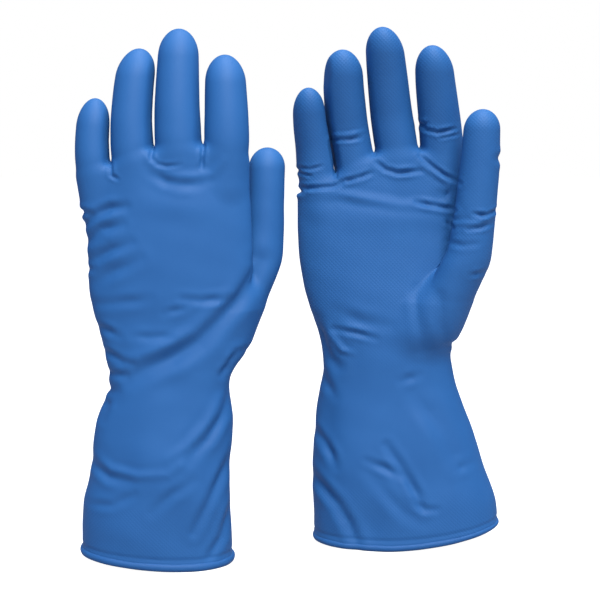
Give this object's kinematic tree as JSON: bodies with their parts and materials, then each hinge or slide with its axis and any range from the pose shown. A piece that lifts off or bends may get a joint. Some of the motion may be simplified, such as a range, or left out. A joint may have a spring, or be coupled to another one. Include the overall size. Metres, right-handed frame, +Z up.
{
  "type": "rubber gloves",
  "caption": "Pair of household rubber gloves standing filled out on their rolled cuff rims, one seen from the back and one from the palm, with bending fingers, thumbs and wrists.",
  "frame": {"origin": "middle of the pair's bounding box, on the floor under the cuff rims", "axes": "+Z up along the fingers, +X to the thumb side of both gloves, +Y from the viewer to the far side; the left glove's palm faces +Y and the right glove's palm faces -Y"},
  "size_m": [0.2404, 0.1072, 0.3019],
  "materials": {
    "latex": "satin"
  },
  "bodies": {
    "left_cuff": {"left_cuff_bead": "latex", "left_cuff": "latex"},
    "left_hand": {"left_hand": "latex"},
    "left_thumb_base": {"left_thumb_base": "latex"},
    "left_thumb_mid": {"left_thumb_mid": "latex"},
    "left_thumb_tip": {"left_thumb_tip": "latex"},
    "left_index_base": {"left_index_base": "latex"},
    "left_index_mid": {"left_index_mid": "latex"},
    "left_index_tip": {"left_index_tip": "latex"},
    "left_middle_base": {"left_middle_base": "latex"},
    "left_middle_mid": {"left_middle_mid": "latex"},
    "left_middle_tip": {"left_middle_tip": "latex"},
    "left_ring_base": {"left_ring_base": "latex"},
    "left_ring_mid": {"left_ring_mid": "latex"},
    "left_ring_tip": {"left_ring_tip": "latex"},
    "left_little_base": {"left_little_base": "latex"},
    "left_little_mid": {"left_little_mid": "latex"},
    "left_little_tip": {"left_little_tip": "latex"},
    "right_cuff": {"right_cuff_bead": "latex", "right_cuff": "latex"},
    "right_hand": {"right_hand": "latex"},
    "right_thumb_base": {"right_thumb_base": "latex"},
    "right_thumb_mid": {"right_thumb_mid": "latex"},
    "right_thumb_tip": {"right_thumb_tip": "latex"},
    "right_index_base": {"right_index_base": "latex"},
    "right_index_mid": {"right_index_mid": "latex"},
    "right_index_tip": {"right_index_tip": "latex"},
    "right_middle_base": {"right_middle_base": "latex"},
    "right_middle_mid": {"right_middle_mid": "latex"},
    "right_middle_tip": {"right_middle_tip": "latex"},
    "right_ring_base": {"right_ring_base": "latex"},
    "right_ring_mid": {"right_ring_mid": "latex"},
    "right_ring_tip": {"right_ring_tip": "latex"},
    "right_little_base": {"right_little_base": "latex"},
    "right_little_mid": {"right_little_mid": "latex"},
    "right_little_tip": {"right_little_tip": "latex"}
  },
  "joints": [
    {"name": "left_wrist_bend", "type": "hinge", "parent": "left_cuff", "child": "left_hand", "pos_m": [-0.0676, -0.0245, 0.103], "axis": [-1, 0, 0], "range_deg": [-40, 40], "stiffness_Nm_per_rad": 0.35},
    {"name": "left_thumb_spread", "type": "hinge", "parent": "left_hand", "child": "left_thumb_base", "pos_m": [-0.01242, -0.0073, 0.172], "axis": [0, 1, 0], "range_deg": [0, 35], "stiffness_Nm_per_rad": 0.02},
    {"name": "left_thumb_mid_bend", "type": "hinge", "parent": "left_thumb_base", "child": "left_thumb_mid", "pos_m": [-0.0159, -0.00164, 0.1878], "axis": [-1, 0, 0], "range_deg": [0, 45], "stiffness_Nm_per_rad": 0.02},
    {"name": "left_thumb_tip_bend", "type": "hinge", "parent": "left_thumb_mid", "child": "left_thumb_tip", "pos_m": [-0.0149, -0.00113, 0.21075], "axis": [-1, 0, 0], "range_deg": [0, 27], "stiffness_Nm_per_rad": 0.02},
    {"name": "left_index_root_bend", "type": "hinge", "parent": "left_hand", "child": "left_index_base", "pos_m": [-0.0362, -0.01929, 0.23776], "axis": [-1, 0, 0], "range_deg": [-15, 60], "stiffness_Nm_per_rad": 0.02},
    {"name": "left_index_mid_bend", "type": "hinge", "parent": "left_index_base", "child": "left_index_mid", "pos_m": [-0.0362, -0.01797, 0.2523], "axis": [-1, 0, 0], "range_deg": [0, 70], "stiffness_Nm_per_rad": 0.02},
    {"name": "left_index_tip_bend", "type": "hinge", "parent": "left_index_mid", "child": "left_index_tip", "pos_m": [-0.0367, -0.01549, 0.26733], "axis": [-1, 0, 0], "range_deg": [0, 42], "stiffness_Nm_per_rad": 0.02},
    {"name": "left_middle_root_bend", "type": "hinge", "parent": "left_hand", "child": "left_middle_base", "pos_m": [-0.0629, -0.01911, 0.23777], "axis": [-1, 0, 0], "range_deg": [-15, 60], "stiffness_Nm_per_rad": 0.02},
    {"name": "left_middle_mid_bend", "type": "hinge", "parent": "left_middle_base", "child": "left_middle_mid", "pos_m": [-0.0636, -0.01749, 0.25728], "axis": [-1, 0, 0], "range_deg": [0, 70], "stiffness_Nm_per_rad": 0.02},
    {"name": "left_middle_tip_bend", "type": "hinge", "parent": "left_middle_mid", "child": "left_middle_tip", "pos_m": [-0.0632, -0.01396, 0.27779], "axis": [-1, 0, 0], "range_deg": [0, 42], "stiffness_Nm_per_rad": 0.02},
    {"name": "left_ring_root_bend", "type": "hinge", "parent": "left_hand", "child": "left_ring_base", "pos_m": [-0.0884, -0.01946, 0.23278], "axis": [-1, 0, 0], "range_deg": [-15, 60], "stiffness_Nm_per_rad": 0.02},
    {"name": "left_ring_mid_bend", "type": "hinge", "parent": "left_ring_base", "child": "left_ring_mid", "pos_m": [-0.0891, -0.01805, 0.24983], "axis": [-1, 0, 0], "range_deg": [0, 70], "stiffness_Nm_per_rad": 0.02},
    {"name": "left_ring_tip_bend", "type": "hinge", "parent": "left_ring_mid", "child": "left_ring_tip", "pos_m": [-0.0877, -0.01487, 0.26837], "axis": [-1, 0, 0], "range_deg": [0, 42], "stiffness_Nm_per_rad": 0.02},
    {"name": "left_little_root_bend", "type": "hinge", "parent": "left_hand", "child": "left_little_base", "pos_m": [-0.1104, -0.02032, 0.22632], "axis": [-1, 0, 0], "range_deg": [-15, 50], "stiffness_Nm_per_rad": 0.02},
    {"name": "left_little_mid_bend", "type": "hinge", "parent": "left_little_base", "child": "left_little_mid", "pos_m": [-0.1109, -0.01935, 0.23744], "axis": [-1, 0, 0], "range_deg": [0, 60], "stiffness_Nm_per_rad": 0.02},
    {"name": "left_little_tip_bend", "type": "hinge", "parent": "left_little_mid", "child": "left_little_tip", "pos_m": [-0.1101, -0.01739, 0.24891], "axis": [-1, 0, 0], "range_deg": [0, 36], "stiffness_Nm_per_rad": 0.02},
    {"name": "right_wrist_bend", "type": "hinge", "parent": "right_cuff", "child": "right_hand", "pos_m": [0.0533, 0.0215, 0.112], "axis": [1, 0, 0], "range_deg": [-40, 40], "stiffness_Nm_per_rad": 0.35},
    {"name": "right_thumb_spread", "type": "hinge", "parent": "right_hand", "child": "right_thumb_base", "pos_m": [0.10756, 0.002, 0.172], "axis": [0, 1, 0], "range_deg": [0, 35], "stiffness_Nm_per_rad": 0.02},
    {"name": "right_thumb_mid_bend", "type": "hinge", "parent": "right_thumb_base", "child": "right_thumb_mid", "pos_m": [0.1041, -0.00457, 0.1896], "axis": [1, 0, 0], "range_deg": [0, 45], "stiffness_Nm_per_rad": 0.02},
    {"name": "right_thumb_tip_bend", "type": "hinge", "parent": "right_thumb_mid", "child": "right_thumb_tip", "pos_m": [0.107, -0.00677, 0.22382], "axis": [1, 0, 0], "range_deg": [0, 27], "stiffness_Nm_per_rad": 0.02},
    {"name": "right_index_root_bend", "type": "hinge", "parent": "right_hand", "child": "right_index_base", "pos_m": [0.087, 0.01634, 0.23113], "axis": [1, 0, 0], "range_deg": [-15, 60], "stiffness_Nm_per_rad": 0.02},
    {"name": "right_index_mid_bend", "type": "hinge", "parent": "right_index_base", "child": "right_index_mid", "pos_m": [0.0855, 0.0141, 0.24686], "axis": [1, 0, 0], "range_deg": [0, 70], "stiffness_Nm_per_rad": 0.02},
    {"name": "right_index_tip_bend", "type": "hinge", "parent": "right_index_mid", "child": "right_index_tip", "pos_m": [0.0825, 0.00817, 0.26661], "axis": [1, 0, 0], "range_deg": [0, 42], "stiffness_Nm_per_rad": 0.02},
    {"name": "right_middle_root_bend", "type": "hinge", "parent": "right_hand", "child": "right_middle_base", "pos_m": [0.0605, 0.0162, 0.23216], "axis": [1, 0, 0], "range_deg": [-15, 60], "stiffness_Nm_per_rad": 0.02},
    {"name": "right_middle_mid_bend", "type": "hinge", "parent": "right_middle_base", "child": "right_middle_mid", "pos_m": [0.0572, 0.01366, 0.25185], "axis": [1, 0, 0], "range_deg": [0, 70], "stiffness_Nm_per_rad": 0.02},
    {"name": "right_middle_tip_bend", "type": "hinge", "parent": "right_middle_mid", "child": "right_middle_tip", "pos_m": [0.0543, 0.00652, 0.27502], "axis": [1, 0, 0], "range_deg": [0, 42], "stiffness_Nm_per_rad": 0.02},
    {"name": "right_ring_root_bend", "type": "hinge", "parent": "right_hand", "child": "right_ring_base", "pos_m": [0.0347, 0.01638, 0.22766], "axis": [1, 0, 0], "range_deg": [-15, 60], "stiffness_Nm_per_rad": 0.02},
    {"name": "right_ring_mid_bend", "type": "hinge", "parent": "right_ring_base", "child": "right_ring_mid", "pos_m": [0.0314, 0.01411, 0.24479], "axis": [1, 0, 0], "range_deg": [0, 70], "stiffness_Nm_per_rad": 0.02},
    {"name": "right_ring_tip_bend", "type": "hinge", "parent": "right_ring_mid", "child": "right_ring_tip", "pos_m": [0.0294, 0.00742, 0.26401], "axis": [1, 0, 0], "range_deg": [0, 42], "stiffness_Nm_per_rad": 0.02},
    {"name": "right_little_root_bend", "type": "hinge", "parent": "right_hand", "child": "right_little_base", "pos_m": [0.0136, 0.01755, 0.21974], "axis": [1, 0, 0], "range_deg": [-15, 50], "stiffness_Nm_per_rad": 0.02},
    {"name": "right_little_mid_bend", "type": "hinge", "parent": "right_little_base", "child": "right_little_mid", "pos_m": [0.0119, 0.01583, 0.23265], "axis": [1, 0, 0], "range_deg": [0, 60], "stiffness_Nm_per_rad": 0.02},
    {"name": "right_little_tip_bend", "type": "hinge", "parent": "right_little_mid", "child": "right_little_tip", "pos_m": [0.0104, 0.01156, 0.24705], "axis": [1, 0, 0], "range_deg": [0, 36], "stiffness_Nm_per_rad": 0.02},
    {"name": "pair_apart", "type": "slide", "parent": "left_cuff", "child": "right_cuff", "axis": [1, 0, 0], "range_m": [0, 0.12]}
  ],
  "couplings": [
    {"joint": "left_thumb_tip_bend", "follows": "left_thumb_mid_bend", "ratio": 0.6},
    {"joint": "left_index_tip_bend", "follows": "left_index_mid_bend", "ratio": 0.6},
    {"joint": "left_middle_tip_bend", "follows": "left_middle_mid_bend", "ratio": 0.6},
    {"joint": "left_ring_tip_bend", "follows": "left_ring_mid_bend", "ratio": 0.6},
    {"joint": "left_little_tip_bend", "follows": "left_little_mid_bend", "ratio": 0.6},
    {"joint": "right_thumb_tip_bend", "follows": "right_thumb_mid_bend", "ratio": 0.6},
    {"joint": "right_index_tip_bend", "follows": "right_index_mid_bend", "ratio": 0.6},
    {"joint": "right_middle_tip_bend", "follows": "right_middle_mid_bend", "ratio": 0.6},
    {"joint": "right_ring_tip_bend", "follows": "right_ring_mid_bend", "ratio": 0.6},
    {"joint": "right_little_tip_bend", "follows": "right_little_mid_bend", "ratio": 0.6}
  ]
}
